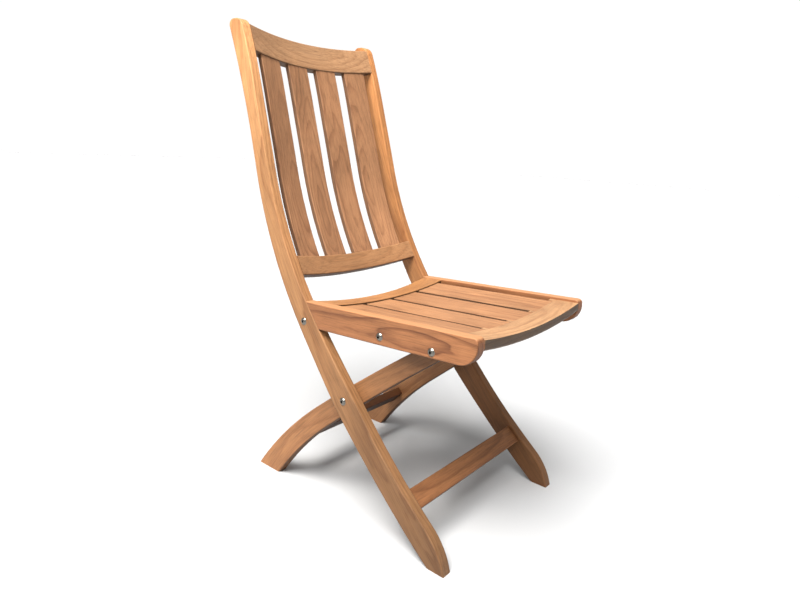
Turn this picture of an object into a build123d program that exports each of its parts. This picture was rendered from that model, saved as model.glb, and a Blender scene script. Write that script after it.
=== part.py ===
"""Folding chair in teak, with a high slatted back and a dished slatted seat.

X runs across the chair, +Y to the rear and +Z up. The origin is at the middle of the footprint, on the floor.
The chair stands open. Each side has a stile, which is the back post and the front leg in one curved board,
and a rear leg that crosses it on the inside. The seat hangs on the tops of the rear legs and on two steel stays.
Points in the side view are (Y, Z) pairs in millimetres.
"""

from build123d import *
import os
from math import atan2, cos, degrees, hypot, radians, sin, sqrt

os.makedirs("parts", exist_ok=True)

# Overall sizes
WIDTH = 440.0  # over the stiles, and over the seat
HEIGHT = 1037.0  # top of the stiles
BOARD = 23.5  # thickness of the stiles, the rear legs and the seat's side rails
LEG_GAP = 1.5  # between a rear leg and the board outside it
ARRIS = 2.5  # rounding of the long edges

# Pivots in the side view, chair open
LEG_PIVOT = (-52.2, 250.0)  # stile and rear leg
STAY_PIVOT = (71.8, 390.0)  # stile and stay
SEAT_PIVOT = (-262.2, 409.0)  # rear leg and seat

# Fits
TENON_LENGTH = 14.0
TENON_THICKNESS = 9.0
TENON_SHOULDER = 5.0  # from a rail's edge to its tenon
JOINT_GAP = 0.1  # all round a tenon, for the glue
END_GAP = 1.0  # past the end of a tenon
RUNNING_GAP = 0.05  # round a shank that turns in its hole
FACE_GAP = 0.3  # between faces that slide past each other
BUTT_GAP = 0.5  # from the seat rail's end to the stile that stops it

# Faces of the boards, measured out from the middle plane
OUTER = WIDTH / 2
INNER = OUTER - BOARD
LEG_OUTER = INNER - LEG_GAP
LEG_INNER = LEG_OUTER - BOARD


class CurvedBoard:
    """A board cut to a chain of tangent arcs, in the side view, with a width that changes along it.

    Lengths run along its centre line from the leg pivot, and `aside` is to the left of that way.
    Each bend is (length, radius), and the last one carries on. A radius below zero turns clockwise.
    """

    def __init__(self, heading, bends, radius_behind, widths):
        self.heading = radians(heading)
        self.bends = bends
        self.radius_behind = radius_behind
        self.widths = widths

    @staticmethod
    def _bend(y, z, heading, length, radius):
        turned = heading + length / radius
        return y + radius * (sin(turned) - sin(heading)), z - radius * (cos(turned) - cos(heading)), turned

    def centre(self, along):
        """Y, Z and heading of the centre line."""
        y, z = LEG_PIVOT
        heading = self.heading
        if along < 0:
            return self._bend(y, z, heading, along, self.radius_behind)
        for length, radius in self.bends[:-1]:
            step = min(along, length)
            y, z, heading = self._bend(y, z, heading, step, radius)
            along -= step
        return self._bend(y, z, heading, along, self.bends[-1][1])

    def half_width(self, along):
        """Half the board's width, which changes evenly from one station to the next."""
        stations = self.widths
        for (start, width), (stop, next_width) in zip(stations, stations[1:]):
            if along <= stop:
                break
        share = min(max((along - start) / (stop - start), 0), 1)
        return (width + share * (next_width - width)) / 2

    def point(self, along, aside=0.0):
        """Y and Z of a point beside the centre line."""
        y, z, heading = self.centre(along)
        return y - aside * sin(heading), z + aside * cos(heading)

    def edge(self, start, stop, side, inset=0.0, steps=9):
        """Points along one edge, side 1 on the left and -1 on the right, or along a line inside it."""
        stations = [start + (stop - start) * step / steps for step in range(steps + 1)]
        return [self.point(along, side * (self.half_width(along) - inset)) for along in stations]

    def along_at(self, z):
        """Length along the centre line at which it reaches a height."""
        low, high = -600.0, 2000.0
        rising = self.centre(high)[1] > self.centre(low)[1]
        for _ in range(60):
            middle = (low + high) / 2
            if (self.centre(middle)[1] < z) == rising:
                low = middle
            else:
                high = middle
        return low

    def plane_at(self, along, aside, x, side=1):
        """Plane square to X, with its x axis along the board and its z axis to that side."""
        y, z = self.point(along, aside)
        heading = self.centre(along)[2]
        return Plane(origin=(x, y, z), x_dir=(0, cos(heading), sin(heading)), z_dir=(side, 0, 0))


# The stile leans back from the foot, bends upright behind the sitter and leans back again at the top
STILE = CurvedBoard(
    heading=48.4,
    bends=((160.0, 3700.0), (385.0, 950.0), (200.0, -4200.0), (400.0, -1900.0)),
    radius_behind=1830.0,
    widths=((-330.0, 52.0), (-150.0, 52.0), (0.0, 58.0), (190.0, 48.5), (400.0, 43.0), (650.0, 38.5), (880.0, 45.0)),
)
# The rear leg is nearly straight under the seat and bends down towards its foot
LEG = CurvedBoard(
    heading=-38.5,
    bends=((116.0, -4850.0), (300.0, -920.0)),
    radius_behind=-4850.0,
    widths=((-264.0, 35.0), (0.0, 44.0), (200.0, 50.0), (390.0, 57.5)),
)

# Bolts, which are alike at all four pivots
SHANK_RADIUS = 4.0
HEAD_RADIUS = 8.0
HEAD_HEIGHT = 4.2
SOCKET_RADIUS = 2.9  # to the corners of the hexagon
SOCKET_DEPTH = 2.6
NUT_HEIGHT = 5.0
WASHER_RADIUS = 9.0

# Stays
STAY_THICKNESS = 3.0
STAY_WIDTH = 17.0
STAY_GAP = 0.8  # between a stay and the board outside it

# Stile ends
TOE_START = -290.0
TOE_TIP_Y = -321.2
TOP_FRONT_RADIUS = 28.0
TOP_REAR_RADIUS = 13.0
LEG_TOP_RADIUS = 17.0

# Back
TOP_RAIL_HEIGHT = 64.5  # at its ends
TOP_RAIL_DROP = 20.0  # from the stile's top to the rail, along the stile
TOP_RAIL_BOW = 30.0  # how far its middle lies behind its ends
TOP_RAIL_DIPS = (1.3, 4.2)  # how far the middle of its upper and lower edges hangs below their ends
BOTTOM_RAIL_HEIGHT = 45.0
BOTTOM_RAIL_Z = 491.0
BOTTOM_RAIL_BOW = 26.0
BOTTOM_RAIL_DIPS = (4.0, 3.5)
BACK_RAIL_THICKNESS = 23.0
BACK_SLATS = 4
BACK_SLAT_WIDTH = 65.0
BACK_SLAT_THICKNESS = 13.0
BACK_SLAT_RECESSES = (7.5, 3.0)  # from the front faces of the lower and upper rails
BACK_SLAT_SIDE_GAP = 22.0  # between a stile and the slat next to it
BACK_SLAT_TENON = 12.0

# Stretchers
STRETCHER_HEIGHT = 41.0
STRETCHER_THICKNESS = 20.0
FRONT_STRETCHER_AT = -230.0  # along the stile
FRONT_STRETCHER_RECESS = 9.0
REAR_STRETCHER_AT = 226.0  # along the rear leg

# Seat, in its own side view: u runs to the rear from the seat pivot and v up, both square to the seat's slope
SEAT_SLOPE = 3.0
RAIL_TOP = 42.0
RAIL_BOTTOM = -12.0
SEAT_FRONT = -96.0
RAIL_NOSE_RADIUS = 40.0
RAIL_NOSE_TOP_RADIUS = 9.0
STAY_BOLT = (122.0, 5.0)
FRONT_RAIL_DEPTH = 66.0
REAR_RAIL_DEPTH = 56.0
SEAT_BOARD = 21.0  # thickness of the front and rear rails
SEAT_NOSE_RADIUS = 9.0
DISH_MIDDLE = 20.0  # from the side rails' top to the seat, at the middle
DISH_SIDE = 6.0  # the same at the side rails
REAR_RAIL_STEP = 4.0  # how far the rear rail stands above the slats
SEAT_SLATS = 4
SEAT_SLAT_WIDTH = 84.0
SEAT_SLAT_THICKNESS = 13.0
SEAT_SLAT_TENON = 11.0


def finish(part, name):
    """Label a piece and write it."""
    part.label = name
    export_step(part, f"parts/{name}.step")


def box_cut(plane, width, height, depth):
    """Cut a rectangular mortise, or a slot, into the open part from a plane."""
    with BuildSketch(plane) as outline:
        Rectangle(width, height)
    extrude(outline.sketch, amount=depth, mode=Mode.SUBTRACT)


def pivot_hole(y, z, radius):
    """Cut a hole right through the open part, along X."""
    with BuildSketch(Plane.YZ.offset(-WIDTH)) as outline:
        with Locations((y, z)):
            Circle(radius)
    extrude(outline.sketch, amount=2 * WIDTH, mode=Mode.SUBTRACT)


def long_edges(part, x):
    """The outline edges of a board's face at one x, but for those on the floor."""
    face = part.faces().filter_by(Axis.X).filter_by(lambda face: abs(face.center().X - x) < 0.01)
    return face.edges().filter_by(lambda edge: edge.center().Z > 0.5)


# Where the cross pieces meet the boards

TOP_RAIL_AT = STILE.along_at(HEIGHT) - TOP_RAIL_DROP - TOP_RAIL_HEIGHT / 2
BOTTOM_RAIL_AT = STILE.along_at(BOTTOM_RAIL_Z)


def rail_tenon_plane(at, recess, thickness, x, side=1):
    """Plane square to X, in the middle of a cross piece between the stiles."""
    return STILE.plane_at(at, STILE.half_width(at) - recess - thickness / 2, x, side)


# Stiles

with BuildPart() as stile_left:
    with BuildSketch(Plane.YZ.offset(INNER)):
        with BuildLine():
            top = STILE.along_at(HEIGHT) + 40
            bottom = STILE.along_at(0) - 60
            front = Spline(*STILE.edge(TOE_START, top, 1, steps=14))
            rear = Spline(*STILE.edge(bottom, top, -1, steps=16))
            Line(front @ 1, rear @ 1)
            toe = TangentArc(front @ 0, (TOE_TIP_Y, 0), tangent=(front % 0) * -1)
            Line(toe @ 1, rear @ 0)
        make_face()
        with Locations((0, HEIGHT / 2)):
            Rectangle(2 * HEIGHT, HEIGHT, mode=Mode.INTERSECT)
        fillet(vertices().group_by(Axis.Y)[-1].sort_by(Axis.X)[0], TOP_FRONT_RADIUS)
        fillet(vertices().group_by(Axis.Y)[-1].sort_by(Axis.X)[-1], TOP_REAR_RADIUS)
    extrude(amount=BOARD)
    fillet(long_edges(stile_left, OUTER) + long_edges(stile_left, INNER), ARRIS)
    pivot_hole(*LEG_PIVOT, SHANK_RADIUS + RUNNING_GAP)
    pivot_hole(*STAY_PIVOT, SHANK_RADIUS + RUNNING_GAP)
    for at, height, recess, thickness in (
        (TOP_RAIL_AT, TOP_RAIL_HEIGHT, 0, BACK_RAIL_THICKNESS),
        (BOTTOM_RAIL_AT, BOTTOM_RAIL_HEIGHT, 0, BACK_RAIL_THICKNESS),
        (FRONT_STRETCHER_AT, STRETCHER_HEIGHT, FRONT_STRETCHER_RECESS, STRETCHER_THICKNESS),
    ):
        box_cut(
            rail_tenon_plane(at, recess, thickness, INNER),
            height - 2 * TENON_SHOULDER + 2 * JOINT_GAP,
            TENON_THICKNESS + 2 * JOINT_GAP,
            TENON_LENGTH + END_GAP,
        )
finish(stile_left.part, "stile_left")

with BuildPart() as stile_right:
    mirror(stile_left.part, about=Plane.YZ)
finish(stile_right.part, "stile_right")


# Rear legs

with BuildPart() as rear_leg_left:
    with BuildSketch(Plane.YZ.offset(LEG_INNER)):
        with BuildLine():
            top = -hypot(SEAT_PIVOT[0] - LEG_PIVOT[0], SEAT_PIVOT[1] - LEG_PIVOT[1])
            bottom = LEG.along_at(0) + 60
            upper = Spline(*LEG.edge(top, bottom, 1, steps=14))
            lower = Spline(*LEG.edge(top, bottom, -1, steps=14))
            Line(upper @ 1, lower @ 1)
            end_y, end_z, heading = LEG.centre(top)
            tip = (end_y - LEG_TOP_RADIUS * cos(heading), end_z - LEG_TOP_RADIUS * sin(heading))
            ThreePointArc(lower @ 0, tip, upper @ 0)
        make_face()
        with Locations((0, HEIGHT / 2)):
            Rectangle(2 * HEIGHT, HEIGHT, mode=Mode.INTERSECT)
    extrude(amount=BOARD)
    fillet(long_edges(rear_leg_left, LEG_OUTER) + long_edges(rear_leg_left, LEG_INNER), ARRIS)
    pivot_hole(*LEG_PIVOT, SHANK_RADIUS + RUNNING_GAP)
    pivot_hole(*SEAT_PIVOT, SHANK_RADIUS + RUNNING_GAP)
    box_cut(
        LEG.plane_at(REAR_STRETCHER_AT, 0, LEG_INNER),
        STRETCHER_HEIGHT - 2 * TENON_SHOULDER + 2 * JOINT_GAP,
        TENON_THICKNESS + 2 * JOINT_GAP,
        TENON_LENGTH + END_GAP,
    )
finish(rear_leg_left.part, "rear_leg_left")

with BuildPart() as rear_leg_right:
    mirror(rear_leg_left.part, about=Plane.YZ)
finish(rear_leg_right.part, "rear_leg_right")


# Stretchers, each a board with a tenon on both ends


def stretcher(plane, face_x):
    """A stretcher between two boards whose inner faces are at +-face_x, centred on a plane across X."""
    with BuildPart() as board:
        with BuildSketch(plane):
            RectangleRounded(STRETCHER_HEIGHT, STRETCHER_THICKNESS, ARRIS)
        extrude(amount=face_x, both=True)
        with BuildSketch(plane):
            Rectangle(STRETCHER_HEIGHT - 2 * TENON_SHOULDER, TENON_THICKNESS)
        extrude(amount=face_x + TENON_LENGTH, both=True)
    return board.part


front_stretcher = stretcher(rail_tenon_plane(FRONT_STRETCHER_AT, FRONT_STRETCHER_RECESS, STRETCHER_THICKNESS, 0), INNER)
finish(front_stretcher, "front_stretcher")
rear_stretcher = stretcher(LEG.plane_at(REAR_STRETCHER_AT, 0, 0), LEG_INNER)
finish(rear_stretcher, "rear_stretcher")


# Back slats, which follow the stile's curve and the rails' bow


def back_bow(along):
    """Bow of the back at a place along the stile, between those of its two rails."""
    share = (along - BOTTOM_RAIL_AT) / (TOP_RAIL_AT - BOTTOM_RAIL_AT)
    return BOTTOM_RAIL_BOW + share * (TOP_RAIL_BOW - BOTTOM_RAIL_BOW)


def back_recess(along):
    """How far the slats lie behind the front of the back at a place along the stile."""
    share = (along - BOTTOM_RAIL_AT) / (TOP_RAIL_AT - BOTTOM_RAIL_AT)
    return BACK_SLAT_RECESSES[0] + share * (BACK_SLAT_RECESSES[1] - BACK_SLAT_RECESSES[0])


def back_slat(x, extra):
    """A slat with its middle at x, or the slot it fits in when extra is more than zero."""
    share = 1 - (x / INNER) ** 2
    bottom = BOTTOM_RAIL_AT + BOTTOM_RAIL_HEIGHT / 2 - BOTTOM_RAIL_DIPS[0] * share - BACK_SLAT_TENON - extra
    top = TOP_RAIL_AT - TOP_RAIL_HEIGHT / 2 - TOP_RAIL_DIPS[1] * share + BACK_SLAT_TENON + extra
    turn = -2 * back_bow((bottom + top) / 2) * x / INNER**2
    faces = []
    for inset in (-extra, BACK_SLAT_THICKNESS + extra):
        points = []
        for step in range(11):
            along = bottom + (top - bottom) * step / 10
            y, z = STILE.point(along, STILE.half_width(along) - back_recess(along) - inset)
            points.append((y + share * back_bow(along), z))
        faces.append(points)
    with BuildPart() as slat:
        with BuildSketch(Plane.YZ.offset(x)):
            with BuildLine():
                front = Spline(*faces[0])
                rear = Spline(*faces[1])
                Line(front @ 0, rear @ 0)
                Line(front @ 1, rear @ 1)
            make_face()
        extrude(amount=(BACK_SLAT_WIDTH / 2 + extra) * hypot(1, turn), dir=Vector(1, turn, 0).normalized(), both=True)
    return slat.part


back_slat_pitch = (2 * (INNER - BACK_SLAT_SIDE_GAP) - BACK_SLAT_WIDTH) / (BACK_SLATS - 1)
back_slat_middles = [back_slat_pitch * (index - (BACK_SLATS - 1) / 2) for index in range(BACK_SLATS)]
for index, x in enumerate(back_slat_middles):
    with BuildPart() as slat:
        add(back_slat(x, 0))
        upright = slat.edges().filter_by(lambda edge: edge.length > BACK_SLAT_WIDTH * 2)
        fillet(upright, ARRIS)
    finish(slat.part, f"back_slat_{index + 1}")


# Back rails


def back_rail(at, height, bow, dips):
    """A rail that is bowed to the rear and hangs in the middle, with its tenons and the slots for the slats."""
    y, z = STILE.point(at, STILE.half_width(at))
    heading = STILE.centre(at)[2]
    up = (0, cos(heading), sin(heading))
    back = (0, sin(heading), -cos(heading))
    radius = (INNER**2 + bow**2) / (2 * bow)
    rear_radius = radius - BACK_RAIL_THICKNESS
    rear_middle = bow + BACK_RAIL_THICKNESS
    rear_side = rear_middle - rear_radius + sqrt(rear_radius**2 - INNER**2)
    with BuildPart() as rail:
        with BuildSketch(Plane(origin=(0, y, z), x_dir=(1, 0, 0), z_dir=up)):
            with BuildLine():
                front = ThreePointArc((-INNER, 0), (0, bow), (INNER, 0))
                rear = ThreePointArc((-INNER, rear_side), (0, rear_middle), (INNER, rear_side))
                Line(front @ 0, rear @ 0)
                Line(front @ 1, rear @ 1)
            make_face()
        extrude(amount=height, both=True)
        with BuildSketch(Plane(origin=(0, y, z), x_dir=(1, 0, 0), z_dir=(0, -back[1], -back[2]))):
            with BuildLine():
                upper = ThreePointArc((-INNER, height / 2), (0, height / 2 - dips[0]), (INNER, height / 2))
                lower = ThreePointArc((-INNER, -height / 2), (0, -height / 2 - dips[1]), (INNER, -height / 2))
                Line(upper @ 0, lower @ 0)
                Line(upper @ 1, lower @ 1)
            make_face()
        extrude(amount=INNER, both=True, mode=Mode.INTERSECT)
        fillet(rail.edges().filter_by(lambda edge: edge.length > INNER), ARRIS)
        for side in (-1, 1):
            with BuildSketch(rail_tenon_plane(at, 0, BACK_RAIL_THICKNESS, side * (INNER - TENON_SHOULDER), side)):
                Rectangle(height - 2 * TENON_SHOULDER, TENON_THICKNESS)
            extrude(amount=TENON_LENGTH + TENON_SHOULDER)
        for x in back_slat_middles:
            add(back_slat(x, JOINT_GAP), mode=Mode.SUBTRACT)
    return rail.part


finish(back_rail(TOP_RAIL_AT, TOP_RAIL_HEIGHT, TOP_RAIL_BOW, TOP_RAIL_DIPS), "back_top_rail")
finish(back_rail(BOTTOM_RAIL_AT, BOTTOM_RAIL_HEIGHT, BOTTOM_RAIL_BOW, BOTTOM_RAIL_DIPS), "back_bottom_rail")


# Seat

SEAT_TURN = radians(SEAT_SLOPE)
SEAT_SIDE = Plane(origin=(0, *SEAT_PIVOT), x_dir=(0, cos(SEAT_TURN), -sin(SEAT_TURN)), z_dir=(1, 0, 0))


def seat_point(u, v):
    """Y and Z of a point of the seat's own side view."""
    y, z = SEAT_PIVOT
    return y + u * cos(SEAT_TURN) + v * sin(SEAT_TURN), z - u * sin(SEAT_TURN) + v * cos(SEAT_TURN)


def seat_section(u):
    """Plane across the seat at u, with its x axis along X, its y axis up and its z axis to the front."""
    return Plane(origin=(0, *seat_point(u, 0)), x_dir=(1, 0, 0), z_dir=(0, -cos(SEAT_TURN), sin(SEAT_TURN)))


def stile_front_u(v):
    """u at which the stiles' front edge is at level v."""
    low, high = 0.0, 500.0
    for _ in range(60):
        along = (low + high) / 2
        y, z = STILE.point(along, STILE.half_width(along))
        y, z = y - SEAT_PIVOT[0], z - SEAT_PIVOT[1]
        if y * sin(SEAT_TURN) + z * cos(SEAT_TURN) < v:
            low = along
        else:
            high = along
    return y * cos(SEAT_TURN) - z * sin(SEAT_TURN)


RAIL_REAR_TOP = stile_front_u(RAIL_TOP) - BUTT_GAP
RAIL_REAR_BOTTOM = stile_front_u(RAIL_BOTTOM) - BUTT_GAP
DISH_SAG = DISH_MIDDLE - DISH_SIDE
DISH_RADIUS = (INNER**2 + DISH_SAG**2) / (2 * DISH_SAG)


def dish(x, down=0.0):
    """Level v of the dished seat surface at x, or of a surface parallel to it further down."""
    return RAIL_TOP - DISH_MIDDLE + DISH_RADIUS - sqrt((DISH_RADIUS + down) ** 2 - x**2)


def dished_section(x1, x2, up, down):
    """Draw a band between two parallel dished surfaces, from x1 to x2."""
    middle = (x1 + x2) / 2
    with BuildLine() as outline:
        upper = ThreePointArc(*[(x, dish(x, -up)) for x in (x1, middle, x2)])
        lower = ThreePointArc(*[(x, dish(x, down)) for x in (x1, middle, x2)])
        Line(upper @ 0, lower @ 0)
        Line(upper @ 1, lower @ 1)
    make_face(outline.edges())


def seat_slat(x, extra):
    """A seat slat with its middle at x, or the slot it fits in when extra is more than zero."""
    start = SEAT_FRONT + FRONT_RAIL_DEPTH - SEAT_SLAT_TENON - extra
    stop = REAR_RAIL_FRONT + SEAT_SLAT_TENON + extra
    half = SEAT_SLAT_WIDTH / 2 + extra
    with BuildPart() as slat:
        with BuildSketch(seat_section(stop)):
            dished_section(x - half, x + half, extra, SEAT_SLAT_THICKNESS + extra)
        extrude(amount=stop - start)
    return slat.part


def seat_tenons(u, width, v):
    """Add the tenons on both ends of a seat rail, in the open part."""
    for side in (-1, 1):
        plane = Plane(
            origin=(side * (INNER - TENON_SHOULDER), *seat_point(u, v)),
            x_dir=(0, cos(SEAT_TURN), -sin(SEAT_TURN)),
            z_dir=(side, 0, 0),
        )
        with BuildSketch(plane) as outline:
            Rectangle(width, TENON_THICKNESS)
        extrude(outline.sketch, amount=TENON_LENGTH + TENON_SHOULDER)


REAR_RAIL_FRONT = RAIL_REAR_TOP - REAR_RAIL_DEPTH
FRONT_RAIL_MIDDLE = SEAT_FRONT + FRONT_RAIL_DEPTH / 2
FRONT_TENON_WIDTH = FRONT_RAIL_DEPTH - 2 * SEAT_NOSE_RADIUS
FRONT_TENON_V = dish(INNER) - SEAT_BOARD / 2
REAR_TENON_WIDTH = 32.0
REAR_TENON_V = FRONT_TENON_V + REAR_RAIL_STEP
REAR_TENON_U = REAR_RAIL_FRONT + TENON_SHOULDER + REAR_TENON_WIDTH / 2

with BuildPart() as seat_rail_left:
    with BuildSketch(SEAT_SIDE.offset(INNER)) as rail_outline:
        with BuildLine():
            Polyline(
                (SEAT_FRONT, RAIL_TOP),
                (RAIL_REAR_TOP, RAIL_TOP),
                (RAIL_REAR_BOTTOM, RAIL_BOTTOM),
                (SEAT_FRONT, RAIL_BOTTOM),
                close=True,
            )
        make_face()
        nose = vertices().group_by(Axis.X)[0].sort_by(Axis.Y)
        fillet(nose[0], RAIL_NOSE_RADIUS)
        nose = vertices().sort_by(Axis.Y)[-2:].sort_by(Axis.X)
        fillet(nose[0], RAIL_NOSE_TOP_RADIUS)
    extrude(amount=BOARD)
    fillet(long_edges(seat_rail_left, OUTER) + long_edges(seat_rail_left, INNER), ARRIS)
    pivot_hole(*SEAT_PIVOT, SHANK_RADIUS + RUNNING_GAP)
    pivot_hole(*seat_point(*STAY_BOLT), SHANK_RADIUS + RUNNING_GAP)
    for u, width, v in (
        (FRONT_RAIL_MIDDLE, FRONT_TENON_WIDTH, FRONT_TENON_V),
        (REAR_TENON_U, REAR_TENON_WIDTH, REAR_TENON_V),
    ):
        mortise = Plane(
            origin=(INNER, *seat_point(u, v)), x_dir=(0, cos(SEAT_TURN), -sin(SEAT_TURN)), z_dir=(1, 0, 0)
        )
        box_cut(mortise, width + 2 * JOINT_GAP, TENON_THICKNESS + 2 * JOINT_GAP, TENON_LENGTH + END_GAP)
finish(seat_rail_left.part, "seat_rail_left")

with BuildPart() as seat_rail_right:
    mirror(seat_rail_left.part, about=Plane.YZ)
finish(seat_rail_right.part, "seat_rail_right")

seat_slat_gap = (2 * INNER - SEAT_SLATS * SEAT_SLAT_WIDTH) / (SEAT_SLATS + 1)
seat_slat_middles = [
    -INNER + seat_slat_gap + SEAT_SLAT_WIDTH / 2 + index * (SEAT_SLAT_WIDTH + seat_slat_gap)
    for index in range(SEAT_SLATS)
]

with BuildPart() as seat_front_rail:
    with BuildSketch(seat_section(SEAT_FRONT + FRONT_RAIL_DEPTH)):
        dished_section(-INNER, INNER, 0, SEAT_BOARD)
    extrude(amount=FRONT_RAIL_DEPTH)
    nose = edges().filter_by(lambda edge: edge.length > INNER).group_by(Axis.Y)[0]
    fillet(nose, SEAT_NOSE_RADIUS)
    seat_tenons(FRONT_RAIL_MIDDLE, FRONT_TENON_WIDTH, FRONT_TENON_V)
    for x in seat_slat_middles:
        add(seat_slat(x, JOINT_GAP), mode=Mode.SUBTRACT)
finish(seat_front_rail.part, "seat_front_rail")

with BuildPart() as seat_rear_rail:
    with BuildSketch(seat_section(RAIL_REAR_TOP)):
        dished_section(-INNER, INNER, REAR_RAIL_STEP, SEAT_BOARD - REAR_RAIL_STEP)
    extrude(amount=REAR_RAIL_DEPTH)
    with BuildSketch(SEAT_SIDE):
        with BuildLine():
            Polyline(
                (REAR_RAIL_FRONT, RAIL_TOP),
                (RAIL_REAR_TOP, RAIL_TOP),
                (RAIL_REAR_BOTTOM, RAIL_BOTTOM),
                (REAR_RAIL_FRONT, RAIL_BOTTOM),
                close=True,
            )
        make_face()
    extrude(amount=INNER, both=True, mode=Mode.INTERSECT)
    fillet(edges().filter_by(lambda edge: edge.length > INNER).group_by(Axis.Z)[-1], ARRIS)
    seat_tenons(REAR_TENON_U, REAR_TENON_WIDTH, REAR_TENON_V)
    for x in seat_slat_middles:
        add(seat_slat(x, JOINT_GAP), mode=Mode.SUBTRACT)
finish(seat_rear_rail.part, "seat_rear_rail")

for index, x in enumerate(seat_slat_middles):
    with BuildPart() as slat:
        add(seat_slat(x, 0))
        fillet(slat.edges().filter_by(lambda edge: edge.length > 2 * SEAT_SLAT_WIDTH), ARRIS)
    finish(slat.part, f"seat_slat_{index + 1}")


# Bolts, nuts and washers, one node for the two alike pieces


def bolt(y, z, length):
    """A bolt from outside the left board, with a domed head and a hexagon socket."""
    dome = (HEAD_RADIUS**2 + HEAD_HEIGHT**2) / (2 * HEAD_HEIGHT)
    with BuildPart() as one:
        with BuildSketch(Plane.XY):
            with BuildLine():
                head = ThreePointArc(
                    (OUTER, HEAD_RADIUS),
                    (OUTER + HEAD_HEIGHT - dome + dome * cos(HEAD_RADIUS / dome / 2), dome * sin(HEAD_RADIUS / dome / 2)),
                    (OUTER + HEAD_HEIGHT, 0),
                )
                Polyline(
                    head @ 1,
                    (OUTER - length, 0),
                    (OUTER - length, SHANK_RADIUS),
                    (OUTER, SHANK_RADIUS),
                    head @ 0,
                )
            make_face()
        revolve(axis=Axis.X)
        with BuildSketch(Plane.YZ.offset(OUTER + HEAD_HEIGHT)):
            RegularPolygon(SOCKET_RADIUS, 6)
        extrude(amount=-SOCKET_DEPTH, mode=Mode.SUBTRACT)
    return one.part.moved(Location((0, y, z)))


def ring(y, z, x, thickness, radius, hole):
    """A washer whose outer face is at x, on the left side."""
    with BuildPart() as one:
        with BuildSketch(Plane.YZ.offset(x)):
            with Locations((y, z)):
                Circle(radius)
                Circle(hole, mode=Mode.SUBTRACT)
        extrude(amount=-thickness)
    return one.part


def cap_nut(y, z, x):
    """A round-topped hexagon nut whose outer face is at x, on the left side, over the end of a shank."""
    with BuildPart() as one:
        with BuildSketch(Plane.YZ.offset(x)):
            with Locations((y, z)):
                RegularPolygon(HEAD_RADIUS, 6)
        extrude(amount=-NUT_HEIGHT)
        with BuildSketch(Plane.YZ.offset(x - NUT_HEIGHT)):
            with Locations((y, z)):
                Circle(HEAD_RADIUS * 0.8)
        extrude(amount=-2)
        fillet(one.edges().filter_by(GeomType.CIRCLE).group_by(Axis.X)[0], 1.5)
        with BuildSketch(Plane.YZ.offset(x)):
            with Locations((y, z)):
                Circle(SHANK_RADIUS)
        extrude(amount=-NUT_HEIGHT, mode=Mode.SUBTRACT)
    return one.part


def both_sides(piece, name):
    """Write a left-hand piece and its mirror image as two solids of one node."""
    with BuildPart() as pair:
        add(piece)
        mirror(piece, about=Plane.YZ)
    finish(pair.part, name)


LEG_NUT_X = LEG_INNER - FACE_GAP
STAY_OUTER = INNER - STAY_GAP
STAY_NUT_X = STAY_OUTER - STAY_THICKNESS - FACE_GAP
HOLE_RADIUS = SHANK_RADIUS + RUNNING_GAP

for pivot, name in ((LEG_PIVOT, "leg_pivot"), (SEAT_PIVOT, "seat_pivot")):
    both_sides(bolt(*pivot, OUTER - LEG_NUT_X + NUT_HEIGHT), f"{name}_bolts")
    both_sides(ring(*pivot, INNER, LEG_GAP - JOINT_GAP, WASHER_RADIUS, HOLE_RADIUS), f"{name}_washers")
    both_sides(cap_nut(*pivot, LEG_NUT_X), f"{name}_nuts")

both_sides(bolt(*STAY_PIVOT, OUTER - STAY_NUT_X + NUT_HEIGHT), "stay_pivot_bolts")
both_sides(ring(*STAY_PIVOT, INNER, STAY_GAP - JOINT_GAP, WASHER_RADIUS, HOLE_RADIUS), "stay_pivot_washers")
both_sides(cap_nut(*STAY_PIVOT, STAY_NUT_X), "stay_pivot_nuts")

# The stay's front pivot is opened between this bolt, which ends inside the seat rail, and the stud in the stay
both_sides(bolt(*seat_point(*STAY_BOLT), BOARD), "seat_stay_bolts")


# Stays

stay_end = seat_point(*STAY_BOLT)
stay_run = (stay_end[0] - STAY_PIVOT[0], stay_end[1] - STAY_PIVOT[1])
stay_length = hypot(*stay_run)
stay_middle = ((stay_end[0] + STAY_PIVOT[0]) / 2, (stay_end[1] + STAY_PIVOT[1]) / 2)

for side, name in ((1, "left"), (-1, "right")):
    with BuildPart() as stay:
        with BuildSketch(Plane.YZ.offset(STAY_OUTER)):
            with Locations(Location((*stay_middle, 0), (0, 0, degrees(atan2(stay_run[1], stay_run[0]))))):
                SlotCenterToCenter(stay_length, STAY_WIDTH)
            with Locations(STAY_PIVOT, stay_end):
                Circle(HOLE_RADIUS, mode=Mode.SUBTRACT)
        extrude(amount=-STAY_THICKNESS)
        if side < 0:
            mirror(about=Plane.YZ, mode=Mode.REPLACE)
    finish(stay.part, f"stay_{name}")

with BuildPart() as stud:
    with BuildSketch(Plane.YZ.offset(STAY_OUTER)):
        with Locations(stay_end):
            Circle(SHANK_RADIUS)
    extrude(amount=-STAY_THICKNESS)
    with BuildSketch(Plane.YZ.offset(STAY_OUTER - STAY_THICKNESS)):
        with Locations(stay_end):
            Circle(HEAD_RADIUS * 0.85)
    extrude(amount=-HEAD_HEIGHT)
    fillet(stud.edges().filter_by(GeomType.CIRCLE).group_by(Axis.X)[0], 3)
both_sides(stud.part, "stay_studs")
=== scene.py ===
"""A folding chair in oiled teak, open, on a pale floor in soft light. Lengths are in metres and angles in degrees.

X runs across the chair, +Y is behind it and +Z is up. The chair faces -Y.
"""

from math import cos, radians, sin

import bpy
from mathutils import Matrix, Vector


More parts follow.
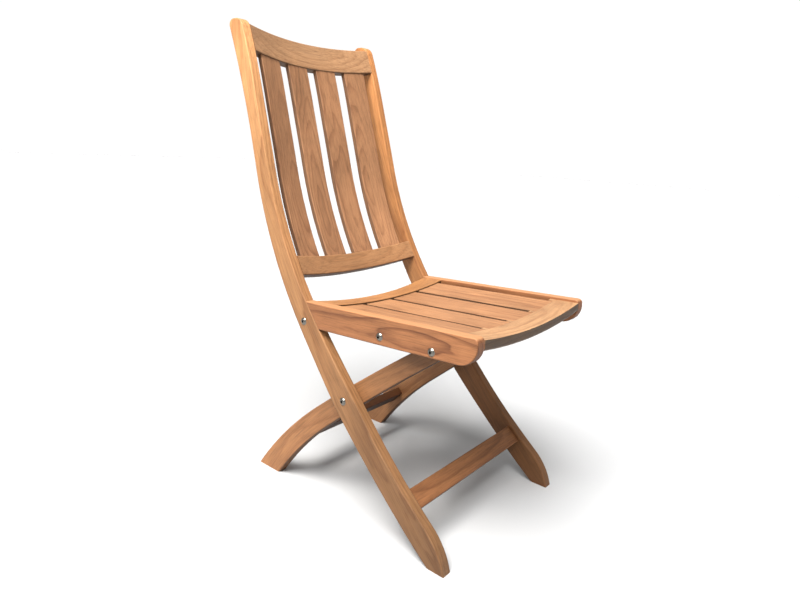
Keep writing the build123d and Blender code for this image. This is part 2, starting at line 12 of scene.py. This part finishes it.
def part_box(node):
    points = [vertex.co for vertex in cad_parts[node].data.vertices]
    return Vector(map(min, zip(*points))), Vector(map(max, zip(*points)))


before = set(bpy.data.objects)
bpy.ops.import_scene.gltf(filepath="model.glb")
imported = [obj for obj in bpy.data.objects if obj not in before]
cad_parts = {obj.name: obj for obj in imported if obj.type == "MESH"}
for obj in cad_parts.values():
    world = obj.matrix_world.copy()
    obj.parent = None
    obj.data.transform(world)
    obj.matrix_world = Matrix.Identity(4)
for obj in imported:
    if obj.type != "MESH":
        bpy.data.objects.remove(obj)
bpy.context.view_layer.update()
bpy.ops.object.select_all(action="DESELECT")

# ---------------------------------------------------------------------------------------------------------------------
# Stiles
# The two long side boards, each the front leg and the back post in one. They are sawn from wide teak planks to an
# S-shaped outline, so the figure runs along the foot and the top and bends gently in between. Oiled, not varnished.
# ---------------------------------------------------------------------------------------------------------------------


def node(tree, kind, inputs=(), **settings):
    """Add a shader node. inputs are pairs of a socket and a value or another node's socket."""
    new = tree.nodes.new(kind)
    for key, value in settings.items():
        setattr(new, key, value)
    for socket, value in inputs:
        if isinstance(value, bpy.types.NodeSocket):
            tree.links.new(value, new.inputs[socket])
        else:
            new.inputs[socket].default_value = value
    return new


def sum_of(tree, operation, *values):
    """A Math node over numbers and sockets."""
    return node(tree, "ShaderNodeMath", list(enumerate(values)), operation=operation).outputs[0]


def mixed(tree, share, first, second, blend_type="MIX"):
    """A Mix node on two colours."""
    mix = node(tree, "ShaderNodeMix", [(0, share), (6, first), (7, second)], data_type="RGBA", blend_type=blend_type)
    return mix.outputs[2]


def curve(tree, value, *stops):
    """A Color Ramp between grey levels, as (place, level) pairs."""
    ramp = node(tree, "ShaderNodeValToRGB", [(0, value)])
    while len(ramp.color_ramp.elements) < len(stops):
        ramp.color_ramp.elements.new(0.5)
    for element, (place, level) in zip(ramp.color_ramp.elements, stops):
        element.position = place
        element.color = (level, level, level, 1)
    return ramp.outputs[0]


def grain_noise(tree, place, along, across, detail=2.0, roughness=0.5):
    """Noise drawn out along the board. along and across are its cycles in a metre."""
    scaled = node(tree, "ShaderNodeVectorMath", [(0, place), (1, (along, across, across))], operation="MULTIPLY")
    noise = node(
        tree,
        "ShaderNodeTexNoise",
        [("Vector", scaled.outputs[0]), ("Scale", 1.0), ("Detail", detail), ("Roughness", roughness)],
    )
    return noise.outputs["Fac"]


def teak(
    name,
    pale,
    dark,
    start,
    end,
    face,
    seed,
    bend=(0.0, 0.0, 0.0),
    heart=(0.02, 0.05),
    ring=0.009,
    figure=0.6,
    painted_light_along=(1.0, 1.0),
    painted_side_shade=0.9,
    painted_top_light=0.0,
):
    """Oiled teak for one board.

    The grain runs from start to end, and face is square to the board's wide face. The board was sawn from a log whose
    heart lies at `heart`, as metres across and behind the board, with one growth ring every `ring` metres.
    bend gives the three factors of the curve that the grain follows across the board, and seed moves the pattern.
    figure is how strong the rings show, painted_light_along the factor of painted shade and light at its start and its
    end, painted_side_shade the factor of painted shade on its narrow sides (above 1 it paints them lighter), and
    painted_top_light how much painted highlight goes on what faces up. Faces that look down get painted shade too.
    """
    material = bpy.data.materials.new(name)
    material.use_nodes = True
    tree = material.node_tree
    tree.nodes.clear()

    run = (Vector(end) - Vector(start)).normalized()
    thick = (Vector(face) - run * run.dot(Vector(face))).normalized()
    wide = thick.cross(run)
    turned = Matrix((run, wide, thick)).transposed().to_euler()
    where = node(tree, "ShaderNodeTexCoord")
    board = node(
        tree,
        "ShaderNodeMapping",
        [("Vector", where.outputs["Object"]), ("Location", start), ("Rotation", turned)],
        vector_type="TEXTURE",
    )
    axes = node(tree, "ShaderNodeSeparateXYZ", [(0, board.outputs[0])])
    along, across, deep = axes.outputs
    offset = 0.0
    for factor in reversed(bend):
        offset = sum_of(tree, "MULTIPLY", sum_of(tree, "ADD", offset, factor), along)
    across = sum_of(tree, "SUBTRACT", across, offset)
    place = node(tree, "ShaderNodeCombineXYZ", [(0, along), (1, across), (2, deep)]).outputs[0]
    place = node(
        tree, "ShaderNodeVectorMath", [(0, place), (1, (seed * 1.7, seed * 0.9, seed * 0.6))], operation="ADD"
    ).outputs[0]

    # Growth rings round the log's heart, which wanders along the tree
    wander = sum_of(tree, "MULTIPLY_ADD", grain_noise(tree, place, 2.2, 7.0, 1.5), 0.05, -0.025)
    ripple = sum_of(tree, "MULTIPLY_ADD", grain_noise(tree, place, 9.0, 45.0, 2.0), 0.009, -0.0045)
    side = sum_of(tree, "ADD", sum_of(tree, "SUBTRACT", across, heart[0]), wander)
    back = sum_of(tree, "ADD", sum_of(tree, "ADD", deep, heart[1]), wander)
    radius = sum_of(
        tree, "SQRT", sum_of(tree, "ADD", sum_of(tree, "MULTIPLY", side, side), sum_of(tree, "MULTIPLY", back, back))
    )
    year = sum_of(tree, "FRACT", sum_of(tree, "DIVIDE", sum_of(tree, "ADD", radius, ripple), ring))
    late = curve(tree, year, (0.0, 0.25), (0.12, 0.0), (0.55, 0.12), (0.86, 0.75), (0.95, 1.0), (1.0, 0.25))
    strength = curve(tree, grain_noise(tree, place, 2.6, 16.0, 2.0), (0.3, 0.3), (0.55, 1.0))
    late = sum_of(tree, "MULTIPLY", sum_of(tree, "MULTIPLY", late, strength), figure)

    # Broad bands of colour, long fibres and the dark pores that teak is full of
    bands = curve(tree, grain_noise(tree, place, 1.3, 26.0, 3.0, 0.6), (0.3, 0.0), (0.72, 1.0))
    fibres = grain_noise(tree, place, 16.0, 420.0, 3.0, 0.6)
    pores = curve(tree, grain_noise(tree, place, 55.0, 1300.0, 1.0), (0.6, 0.0), (0.75, 1.0))
    cloud = curve(tree, grain_noise(tree, place, 5.0, 9.0, 3.0, 0.6), (0.3, 0.0), (0.7, 1.0))

    warm = tuple(low + 0.45 * (high - low) for low, high in zip(dark, pale)) + (1,)
    colour = mixed(tree, sum_of(tree, "MULTIPLY", bands, 0.7), (*pale, 1), warm)
    colour = mixed(tree, late, colour, (*dark, 1))
    shade = curve(tree, fibres, (0.28, 0.66), (0.5, 0.95), (0.72, 1.12))
    colour = mixed(tree, 1.0, colour, shade, "MULTIPLY")
    colour = mixed(tree, 1.0, colour, curve(tree, cloud, (0.0, 0.8), (1.0, 1.1)), "MULTIPLY")
    pore_colour = (dark[0] * 0.45, dark[1] * 0.4, dark[2] * 0.4, 1)
    colour = mixed(tree, sum_of(tree, "MULTIPLY", pores, 0.35), colour, pore_colour)

    # Painted light and shade that changes along the board, and painted shade on the faces that look down
    share = sum_of(tree, "DIVIDE", along, (Vector(end) - Vector(start)).length)
    share = node(tree, "ShaderNodeClamp", [(0, share)]).outputs[0]
    level = sum_of(tree, "MULTIPLY_ADD", share, painted_light_along[1] - painted_light_along[0], painted_light_along[0])
    # Painted shade: faces that look down are darkened
    facing = node(tree, "ShaderNodeSeparateXYZ", [(0, where.outputs["Normal"])]).outputs[2]
    facing = sum_of(tree, "MULTIPLY_ADD", facing, 0.5, 0.5)
    level = sum_of(tree, "MULTIPLY", level, curve(tree, facing, (0.1, 0.3), (0.45, 0.9), (0.65, 1.0)))
    # Painted highlight: faces that look up are mixed towards a paler colour
    painted_top_highlight = sum_of(tree, "MULTIPLY", curve(tree, facing, (0.75, 0.0), (0.96, 1.0)), painted_top_light)
    colour = mixed(tree, painted_top_highlight, colour, (pale[0] * 1.35, pale[1] * 1.6, pale[2] * 1.8, 1))
    # Painted shade on the narrow sides, square to the wide face
    side_shade = node(
        tree, "ShaderNodeVectorMath", [(0, where.outputs["Normal"]), (1, tuple(wide))], operation="DOT_PRODUCT"
    ).outputs["Value"]
    side_shade = curve(tree, sum_of(tree, "ABSOLUTE", side_shade), (0.6, 1.0), (0.97, painted_side_shade))
    level = sum_of(tree, "MULTIPLY", level, side_shade)
    level = node(tree, "ShaderNodeCombineXYZ", [(0, level), (1, level), (2, level)]).outputs[0]
    colour = mixed(tree, 1.0, colour, level, "MULTIPLY")

    # Sawn ends drink more oil and are darker
    ends = node(
        tree, "ShaderNodeVectorMath", [(0, where.outputs["Normal"]), (1, tuple(run))], operation="DOT_PRODUCT"
    ).outputs["Value"]
    ends = curve(tree, sum_of(tree, "ABSOLUTE", ends), (0.55, 0.0), (0.9, 1.0))
    colour = mixed(tree, sum_of(tree, "MULTIPLY", ends, 0.45), colour, (*dark, 1))

    roughness = sum_of(tree, "MULTIPLY_ADD", fibres, 0.22, 0.42)
    roughness = sum_of(tree, "MULTIPLY_ADD", pores, 0.15, roughness)
    height = sum_of(tree, "MULTIPLY_ADD", late, -0.35, fibres)
    height = sum_of(tree, "MULTIPLY_ADD", pores, -0.6, height)
    bump = node(tree, "ShaderNodeBump", [("Strength", 0.35), ("Distance", 0.0005), ("Height", height)])
    surface = node(
        tree,
        "ShaderNodeBsdfPrincipled",
        [
            ("Base Color", colour),
            ("Roughness", roughness),
            ("Specular IOR Level", 0.32),
            ("Normal", bump.outputs[0]),
        ],
    )
    node(tree, "ShaderNodeOutputMaterial", [("Surface", surface.outputs[0])])
    return material


def finish_board(board, material):
    """Give a board its finish."""
    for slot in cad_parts[board].material_slots:
        slot.material = material


stile_foot, stile_top = (0.0, -0.286, 0.0), (0.0, 0.318, 1.037)
stile_bend = (-0.272, 0.1, 0.102)
for side, seed, pale, dark in (
    ("right", 1.3, (0.434, 0.218, 0.091), (0.195, 0.072, 0.023)),
    ("left", 7.9, (0.375, 0.163, 0.056), (0.185, 0.062, 0.018)),
):
    # Painted shade darkens the foot end and painted light brightens the top; the narrow sides get a little painted
    # light
    wood = teak(
        f"stile_teak_{side}",
        pale,
        dark,
        stile_foot,
        stile_top,
        (1, 0, 0),
        seed,
        stile_bend,
        painted_light_along=(0.46, 1.66),
        painted_side_shade=1.05,
    )
    finish_board(f"stile_{side}", wood)

# ---------------------------------------------------------------------------------------------------------------------
# Rear legs
# Curved teak boards inside the stiles, which they cross at a bolt. Their tops carry the seat and their feet bend
# down to the floor. They stand in the shade of the seat.
# ---------------------------------------------------------------------------------------------------------------------

leg_top, leg_foot = (0.0, -0.262, 0.409), (0.0, 0.203, 0.0)
leg_bend = (0.13, 0.0, -0.34)
for side, seed in (("right", 3.1), ("left", 5.4)):
    # Painted shade darkens the top end, which stands under the seat
    wood = teak(
        f"leg_teak_{side}",
        (0.400, 0.185, 0.075),
        (0.185, 0.066, 0.022),
        leg_top,
        leg_foot,
        (1, 0, 0),
        seed,
        leg_bend,
        painted_light_along=(0.62, 1.1),
    )
    finish_board(f"rear_leg_{side}", wood)

# ---------------------------------------------------------------------------------------------------------------------
# Stretchers
# Two plain teak bars that hold the legs apart, one low between the stiles and one low between the rear legs.
# They are tenoned and glued into the boards.
# ---------------------------------------------------------------------------------------------------------------------

# The rear stretcher's colour is painted much darker than the front one's, as painted shade under the seat
for bar, face, seed, pale in (
    ("front_stretcher", (0, -0.7, 0.7), 11.2, (0.280, 0.117, 0.045)),
    ("rear_stretcher", (0, 0.7, 0.7), 13.7, (0.120, 0.044, 0.015)),
):
    low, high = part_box(bar)
    middle = (Vector(low) + Vector(high)) / 2
    wood = teak(
        f"{bar}_teak",
        pale,
        (0.110, 0.038, 0.012),
        (low[0], middle.y, middle.z),
        (high[0], middle.y, middle.z),
        face,
        seed,
    )
    finish_board(bar, wood)

# ---------------------------------------------------------------------------------------------------------------------
# Back rails
# The top and bottom rails of the back, cut to a shallow bow from thick teak, with their long edges rounded over.
# ---------------------------------------------------------------------------------------------------------------------

for rail, seed, pale in (
    ("back_top_rail", 17.3, (0.490, 0.268, 0.132)),
    ("back_bottom_rail", 19.6, (0.392, 0.197, 0.087)),
):
    low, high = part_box(rail)
    middle = (Vector(low) + Vector(high)) / 2
    wood = teak(
        f"{rail}_teak",
        pale,
        (0.203, 0.082, 0.029),
        (low[0], middle.y, middle.z),
        (high[0], middle.y, middle.z),
        (0, -0.94, 0.34),
        seed,
        figure=0.4,
    )
    finish_board(rail, wood)

# ---------------------------------------------------------------------------------------------------------------------
# Back slats
# Four upright teak slats cut to the back's curve and let into slots in the two rails. Flat-sawn, so that the figure
# shows pointed arches. Their narrow sides get painted shade.
# ---------------------------------------------------------------------------------------------------------------------

for number in range(1, 5):
    slat = f"back_slat_{number}"
    low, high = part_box(slat)
    across = (low[0] + high[0]) / 2
    wood = teak(
        f"{slat}_teak",
        (0.430, 0.213, 0.101),
        (0.190, 0.077, 0.033),
        (across, low[1], low[2]),
        (across, high[1], high[2]),
        (0, -1, 0),
        21.0 + 2.3 * number,
        heart=(0.008 * (number - 2.5), 0.035),
        ring=0.007,
        figure=0.7,
        painted_side_shade=0.55,
    )
    finish_board(slat, wood)

# ---------------------------------------------------------------------------------------------------------------------
# Seat rails
# The teak boards on both sides of the seat. Their front ends are rounded and their rear ends butt on the stiles.
# They have the strongest dark lines, and a painted highlight makes their faces that look up paler.
# ---------------------------------------------------------------------------------------------------------------------

for side, seed, heart in (("right", 31.5, (-0.01, 0.016)), ("left", 34.2, (0.02, 0.03))):
    low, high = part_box(f"seat_rail_{side}")
    wood = teak(
        f"seat_rail_teak_{side}",
        (0.410, 0.170, 0.068),
        (0.130, 0.042, 0.016),
        (low[0], low[1], 0.435),
        (low[0], high[1], 0.412),
        (1, 0, 0),
        seed,
        heart=heart,
        ring=0.011,
        figure=1.0,
        painted_top_light=0.75,
    )
    finish_board(f"seat_rail_{side}", wood)

# ---------------------------------------------------------------------------------------------------------------------
# Seat ends and seat slats
# The front and rear rails of the seat run across it, and four wide slats lie between them, flush with the front one.
# All are dished teak. Painted shade darkens the faces that look down, the slats' sides in the gaps and the rails' long
# sides.
# ---------------------------------------------------------------------------------------------------------------------

for rail, seed, pale in (
    ("seat_front_rail", 41.9, (0.530, 0.300, 0.148)),
    ("seat_rear_rail", 44.3, (0.450, 0.205, 0.072)),
):
    low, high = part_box(rail)
    middle = (Vector(low) + Vector(high)) / 2
    wood = teak(
        f"{rail}_teak",
        pale,
        (0.250, 0.100, 0.040),
        (low[0], middle.y, middle.z),
        (high[0], middle.y, middle.z),
        (0, 0.05, 1),
        seed,
        figure=0.5,
        painted_side_shade=0.2,
    )
    finish_board(rail, wood)

for number in range(1, 5):
    slat = f"seat_slat_{number}"
    low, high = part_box(slat)
    across = (low[0] + high[0]) / 2
    wood = teak(
        f"{slat}_teak",
        (0.440, 0.215, 0.098),
        (0.215, 0.083, 0.034),
        (across, low[1], 0.43),
        (across, high[1], 0.413),
        (0, 0, 1),
        51.0 + 3.7 * number,
        figure=0.6,
        painted_side_shade=0.25,
    )
    finish_board(slat, wood)

# ---------------------------------------------------------------------------------------------------------------------
# Bolts, nuts and washers
# Domed stainless bolts with a hexagon socket, one at each pivot, with cap nuts inside and thin washers between the
# boards. Polished, with fine turning marks round the dome and painted shade in the socket.
# ---------------------------------------------------------------------------------------------------------------------


def stainless(name, centre, roughness, socket=0.0):
    """Stainless steel turned round a centre (Y, Z), with painted shade filling a socket of that radius."""
    material = bpy.data.materials.new(name)
    material.use_nodes = True
    tree = material.node_tree
    tree.nodes.clear()
    where = node(tree, "ShaderNodeTexCoord").outputs["Object"]
    flat = node(
        tree, "ShaderNodeVectorMath", [(0, where), (1, (0, *centre))], operation="SUBTRACT"
    ).outputs[0]
    flat = node(tree, "ShaderNodeVectorMath", [(0, flat), (1, (0, 1, 1))], operation="MULTIPLY").outputs[0]
    radius = node(tree, "ShaderNodeVectorMath", [(0, flat)], operation="LENGTH").outputs["Value"]
    rings = node(tree, "ShaderNodeCombineXYZ", [(0, sum_of(tree, "MULTIPLY", radius, 1500.0))])
    marks = node(tree, "ShaderNodeTexNoise", [("Vector", rings.outputs[0]), ("Scale", 1.0), ("Detail", 2.0)])
    stain = node(tree, "ShaderNodeTexNoise", [("Vector", where), ("Scale", 260.0), ("Detail", 3.0)]).outputs["Fac"]
    colour = mixed(tree, curve(tree, stain, (0.4, 0.0), (0.75, 0.6)), (0.25, 0.24, 0.215, 1), (0.11, 0.095, 0.08, 1))
    if socket:
        # Painted shade: the deep socket is filled with near black
        inside = sum_of(tree, "LESS_THAN", radius, socket)
        colour = mixed(tree, inside, colour, (0.05, 0.045, 0.04, 1))
    surface = node(
        tree,
        "ShaderNodeBsdfPrincipled",
        [
            ("Base Color", colour),
            ("Metallic", 1.0),
            ("Roughness", sum_of(tree, "MULTIPLY_ADD", marks.outputs["Fac"], 0.2, roughness)),
        ],
    )
    node(tree, "ShaderNodeOutputMaterial", [("Surface", surface.outputs[0])])
    return material


leg_pivot, seat_pivot, stay_pivot = (-0.0522, 0.25), (-0.2622, 0.409), (0.0718, 0.39)
stay_bolt = (-0.1401, 0.4076)
for pieces, pivot in (
    (("leg_pivot_bolts", "leg_pivot_nuts", "leg_pivot_washers"), leg_pivot),
    (("seat_pivot_bolts", "seat_pivot_nuts", "seat_pivot_washers"), seat_pivot),
    (("stay_pivot_bolts", "stay_pivot_nuts", "stay_pivot_washers"), stay_pivot),
    (("seat_stay_bolts", "stay_studs"), stay_bolt),
):
    for piece in pieces:
        finish_board(piece, stainless(f"{piece}_steel", pivot, 0.2, 0.0028 if piece.endswith("bolts") else 0.0))

# ---------------------------------------------------------------------------------------------------------------------
# Stays
# Flat stainless bars inside the seat rails, one on each side. They tie the seat to the stiles.
# ---------------------------------------------------------------------------------------------------------------------

for side in ("left", "right"):
    finish_board(f"stay_{side}", stainless(f"stay_{side}_steel", stay_pivot, 0.32))

# ---------------------------------------------------------------------------------------------------------------------
# Floor, light and camera
# A wide pale floor under a broad soft light from above and to the left, with one small lamp close to the top of the
# back. The surround gives little light of its own and is seen as plain white.
# ---------------------------------------------------------------------------------------------------------------------

bpy.ops.mesh.primitive_plane_add(size=40.0, location=(0, 0, 0))
floor = bpy.context.object
floor.name = "floor"
paint = bpy.data.materials.new("floor_paint")
paint.use_nodes = True
tree = paint.node_tree
tree.nodes["Principled BSDF"].inputs["Base Color"].default_value = (0.5, 0.5, 0.5, 1)
tree.nodes["Principled BSDF"].inputs["Roughness"].default_value = 0.8
floor.data.materials.append(paint)

world = bpy.data.worlds.new("surround")
world.use_nodes = True
tree = world.node_tree
direction = node(tree, "ShaderNodeSeparateXYZ", [(0, node(tree, "ShaderNodeTexCoord").outputs["Generated"])])
fill = curve(tree, direction.outputs[2], (0.0, 0.42), (0.3, 0.5), (1.0, 0.35))
seen = node(tree, "ShaderNodeLightPath").outputs["Is Camera Ray"]
plain_white = (1, 1, 1, 1)
tree.links.new(mixed(tree, seen, fill, plain_white), tree.nodes["Background"].inputs[0])
tree.nodes["Background"].inputs[1].default_value = 1.02
bpy.context.scene.world = world


def soft_lamp(name, position, target, size, power, colour):
    """A square soft lamp that points at a place."""
    lamp = bpy.data.lights.new(name, "AREA")
    lamp.size = size
    lamp.energy = power
    lamp.color = colour
    lamp_object = bpy.data.objects.new(name, lamp)
    bpy.context.scene.collection.objects.link(lamp_object)
    lamp_object.location = position
    lamp_object.rotation_euler = (Vector(target) - Vector(position)).to_track_quat("-Z", "Y").to_euler()


soft_lamp("overhead_lamp", (-1.1, 0.1, 1.9), (-0.1, 0.2, 0.8), 0.6, 16.0, (1.0, 0.95, 0.88))

sky_light = bpy.data.lights.new("sky_light", "SUN")
sky_light.energy = 6.3
sky_light.angle = radians(40)
sky_object = bpy.data.objects.new("sky_light", sky_light)
bpy.context.scene.collection.objects.link(sky_object)
sky_object.rotation_euler = (radians(6), radians(-28), 0)

azimuth, elevation, roll = radians(-50.75), radians(7.66), radians(3.16)
back = Vector((sin(azimuth) * cos(elevation), -cos(azimuth) * cos(elevation), sin(elevation)))
right = Vector((cos(azimuth), sin(azimuth), 0.0))
up = back.cross(right)
rolled_right = right * cos(roll) + up * sin(roll)
rolled_up = up * cos(roll) - right * sin(roll)
camera_data = bpy.data.cameras.new("camera")
camera_data.lens = 27.37
camera_data.shift_x = 0.00875
camera_data.shift_y = -0.0875
camera = bpy.data.objects.new("camera", camera_data)
bpy.context.scene.collection.objects.link(camera)
turn = Matrix((rolled_right, rolled_up, back)).transposed().to_4x4()
camera.matrix_world = Matrix.Translation((-1.0790, -0.8611, 0.7652)) @ turn
bpy.context.scene.camera = camera
bpy.context.scene.view_settings.view_transform = "Standard"
